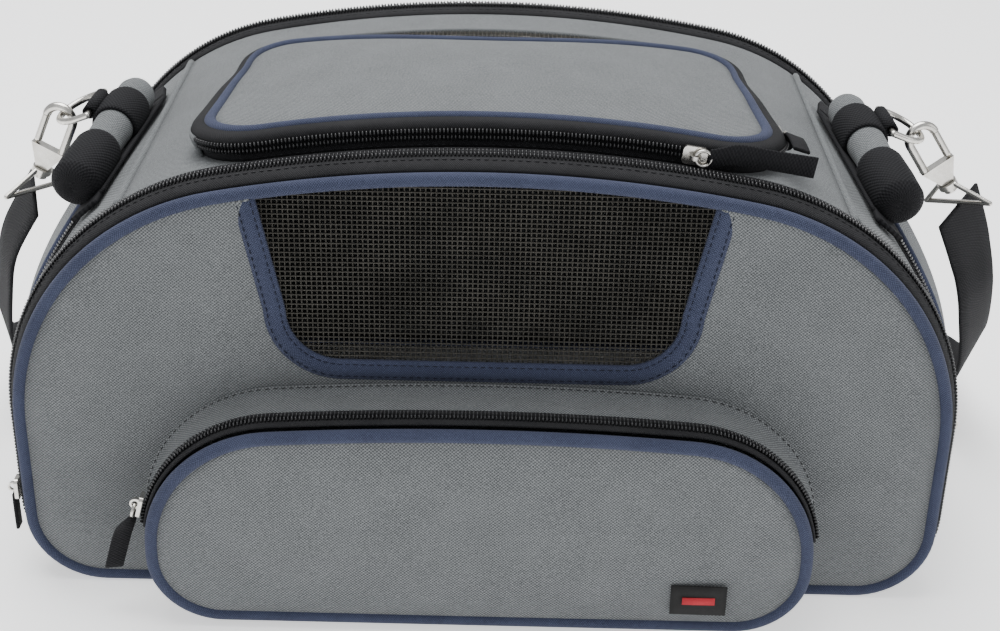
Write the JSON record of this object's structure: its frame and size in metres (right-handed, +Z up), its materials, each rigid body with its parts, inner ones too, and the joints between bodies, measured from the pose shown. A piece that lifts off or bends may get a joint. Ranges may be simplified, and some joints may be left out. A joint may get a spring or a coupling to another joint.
{
  "type": "pet carrier bag",
  "caption": "Soft arched pet carrier bag with fold-out wings, mesh windows, zipped top flap and end doors, front pocket, padded handles and a clipped shoulder strap.",
  "frame": {"origin": "centre of the base on the floor", "axes": "+X to the bag's right seen from the front, +Y to the back, +Z up"},
  "size_m": [0.5473, 0.352, 0.23],
  "materials": {
    "shell_cloth": "padded polyester plain weave, matt",
    "piping_cloth": "navy corded piping and binding tape",
    "zip_tape": "black polyester tape with nylon coil",
    "netting": "black knitted mesh",
    "webbing": "black ribbed webbing",
    "nickel": "bright nickel plate",
    "base_lining": "coated base fabric",
    "board": "stiff plastic board",
    "plush": "short plush",
    "label_weave": "woven label without lettering",
    "acetal": "black moulded plastic"
  },
  "bodies": {
    "bag": {"base_fabric": "base_lining", "base_board": "board", "base_cushion": "plush", "top_panel": "shell_cloth", "top_rear_mesh": "netting", "left_end_panel": "shell_cloth", "right_end_panel": "shell_cloth", "wire_hoops": "nickel", "wing_body_tapes": "zip_tape", "wing_body_coils": "zip_tape", "top_body_zip": "zip_tape", "door_body_zips": "zip_tape", "front_gusset": "netting", "rear_gusset": "netting", "shoulder_strap": "webbing", "strap_swivel_loops": "nickel"},
    "strap_adjuster": {"strap_adjuster": "acetal"},
    "top_flap": {"top_flap_panel": "shell_cloth", "top_flap_piping": "piping_cloth", "top_flap_zip": "zip_tape"},
    "front_wing": {"front_panel": "shell_cloth", "front_mesh": "netting", "front_window_trim": "piping_cloth", "front_piping": "piping_cloth", "front_wing_zip": "zip_tape", "pocket_gusset": "shell_cloth", "pocket_rear_zip": "zip_tape", "pocket_front_zip": "zip_tape", "pocket_piping": "piping_cloth", "pocket_face": "shell_cloth", "label_patch": "label_weave"},
    "rear_wing": {"rear_panel": "shell_cloth", "rear_mesh": "netting", "rear_window_trim": "piping_cloth", "rear_piping": "piping_cloth", "rear_wing_zip": "zip_tape"},
    "left_door": {"left_door_panel": "shell_cloth", "left_door_trim": "zip_tape"},
    "right_door": {"right_door_panel": "shell_cloth", "right_door_trim": "zip_tape"},
    "left_handle": {"left_grip": "shell_cloth", "left_handle_webbing": "webbing"},
    "right_handle": {"right_grip": "shell_cloth", "right_handle_webbing": "webbing"},
    "left_dring": {"left_dring": "nickel"},
    "right_dring": {"right_dring": "nickel"},
    "left_hook": {"left_hook": "nickel"},
    "right_hook": {"right_hook": "nickel"},
    "left_gate": {"left_gate": "nickel"},
    "right_gate": {"right_gate": "nickel"},
    "top_front_slider": {"top_front_slider": "nickel"},
    "top_front_pull": {"top_front_pull": "webbing"},
    "top_side_slider": {"top_side_slider": "nickel"},
    "top_side_pull": {"top_side_pull": "webbing"},
    "pocket_slider": {"pocket_slider": "nickel"},
    "pocket_pull": {"pocket_pull": "webbing"},
    "front_wing_slider": {"front_wing_slider": "nickel"},
    "rear_wing_slider": {"rear_wing_slider": "nickel"},
    "left_door_slider": {"left_door_slider": "nickel"},
    "right_door_slider": {"right_door_slider": "nickel"}
  },
  "joints": [
    {"name": "top_flap_hinge", "type": "hinge", "parent": "bag", "child": "top_flap", "pos_m": [-0.132, -0.0285, 0.2091], "axis": [0, -1, 0], "range_deg": [0, 110]},
    {"name": "front_wing_hinge", "type": "hinge", "parent": "bag", "child": "front_wing", "pos_m": [0, -0.1245, 0.0005], "axis": [1, 0, 0], "range_deg": [0, 80], "deforming": ["front_gusset"]},
    {"name": "rear_wing_hinge", "type": "hinge", "parent": "bag", "child": "rear_wing", "pos_m": [0, 0.1245, 0.0005], "axis": [-1, 0, 0], "range_deg": [0, 78], "deforming": ["rear_gusset"]},
    {"name": "right_door_hinge", "type": "hinge", "parent": "bag", "child": "right_door", "pos_m": [0.20946, 0, 0.01805], "axis": [0, -1, 0], "range_deg": [0, 60]},
    {"name": "left_door_hinge", "type": "hinge", "parent": "bag", "child": "left_door", "pos_m": [-0.20946, 0, 0.01805], "axis": [0, 1, 0], "range_deg": [0, 60]},
    {"name": "right_handle_hinge", "type": "hinge", "parent": "bag", "child": "right_handle", "pos_m": [0.18568, -0.078, 0.1737], "axis": [-0.0579, 0.9965, 0.0603], "range_deg": [0, 10]},
    {"name": "left_handle_hinge", "type": "hinge", "parent": "bag", "child": "left_handle", "pos_m": [-0.18568, -0.078, 0.1737], "axis": [-0.0579, -0.9965, -0.0603], "range_deg": [0, 10]},
    {"name": "right_dring_hinge", "type": "hinge", "parent": "right_handle", "child": "right_dring", "pos_m": [0.19625, 0.00253, 0.19642], "axis": [-0.0991, 0.9914, 0.0852], "range_deg": [0, 2]},
    {"name": "left_dring_hinge", "type": "hinge", "parent": "left_handle", "child": "left_dring", "pos_m": [-0.19625, 0.00253, 0.19642], "axis": [-0.0991, -0.9914, -0.0852], "range_deg": [0, 2]},
    {"name": "right_hook_swivel", "type": "hinge", "parent": "bag", "child": "right_hook", "pos_m": [0.21462, 0.00501, 0.1889], "axis": [-0.5507, -0.0971, 0.829], "range_deg": [-4, 4]},
    {"name": "left_hook_swivel", "type": "hinge", "parent": "bag", "child": "left_hook", "pos_m": [-0.21462, 0.00501, 0.1889], "axis": [-0.4006, 0.0706, -0.9135], "range_deg": [-4, 4]},
    {"name": "right_gate_hinge", "type": "hinge", "parent": "right_hook", "child": "right_gate", "pos_m": [0.22997, 0.00772, 0.1783], "axis": [0.1736, -0.9848, 0], "range_deg": [0, 18], "stiffness_Nm_per_rad": 0.002},
    {"name": "left_gate_hinge", "type": "hinge", "parent": "left_hook", "child": "left_gate", "pos_m": [-0.22792, 0.00736, 0.17575], "axis": [0.1736, 0.9848, 0], "range_deg": [0, 18], "stiffness_Nm_per_rad": 0.002},
    {"name": "top_front_slider_travel", "type": "hinge", "parent": "bag", "child": "top_front_slider", "pos_m": [0, -0.0965, -0.3943], "axis": [0, -1, 0], "range_deg": [0, 16.5]},
    {"name": "top_front_pull_hinge", "type": "hinge", "parent": "top_front_slider", "child": "top_front_pull", "pos_m": [0.091, -0.102, 0.21676], "axis": [-0.1473, 0, -0.9891], "range_deg": [0, 13]},
    {"name": "top_side_slider_travel", "type": "slide", "parent": "bag", "child": "top_side_slider", "axis": [0, 1, 0], "range_m": [0, 0.04]},
    {"name": "top_side_pull_hinge", "type": "hinge", "parent": "top_side_slider", "child": "top_side_pull", "pos_m": [0.1365, -0.0565, 0.20945], "axis": [0, 0, 1], "range_deg": [0, 45]},
    {"name": "pocket_slider_travel", "type": "hinge", "parent": "front_wing", "child": "pocket_slider", "pos_m": [-0.09, -0.1471, 0.042], "axis": [0, 1, 0], "range_deg": [0, 60]},
    {"name": "pocket_pull_hinge", "type": "hinge", "parent": "pocket_slider", "child": "pocket_pull", "pos_m": [-0.15715, -0.1471, 0.05994], "axis": [0, 1, 0], "range_deg": [0, 70]},
    {"name": "front_wing_slider_travel", "type": "slide", "parent": "bag", "child": "front_wing_slider", "axis": [0, 0, 1], "range_m": [0, 0.04]},
    {"name": "rear_wing_slider_travel", "type": "slide", "parent": "bag", "child": "rear_wing_slider", "axis": [0, 0, 1], "range_m": [0, 0.04]},
    {"name": "left_door_slider_travel", "type": "slide", "parent": "bag", "child": "left_door_slider", "axis": [0, 0, -1], "range_m": [0, 0.03]},
    {"name": "right_door_slider_travel", "type": "slide", "parent": "bag", "child": "right_door_slider", "axis": [0, 0, -1], "range_m": [0, 0.03]},
    {"name": "strap_adjuster_travel", "type": "slide", "parent": "bag", "child": "strap_adjuster", "axis": [1, 0, 0], "range_m": [-0.03, 0.09]}
  ]
}
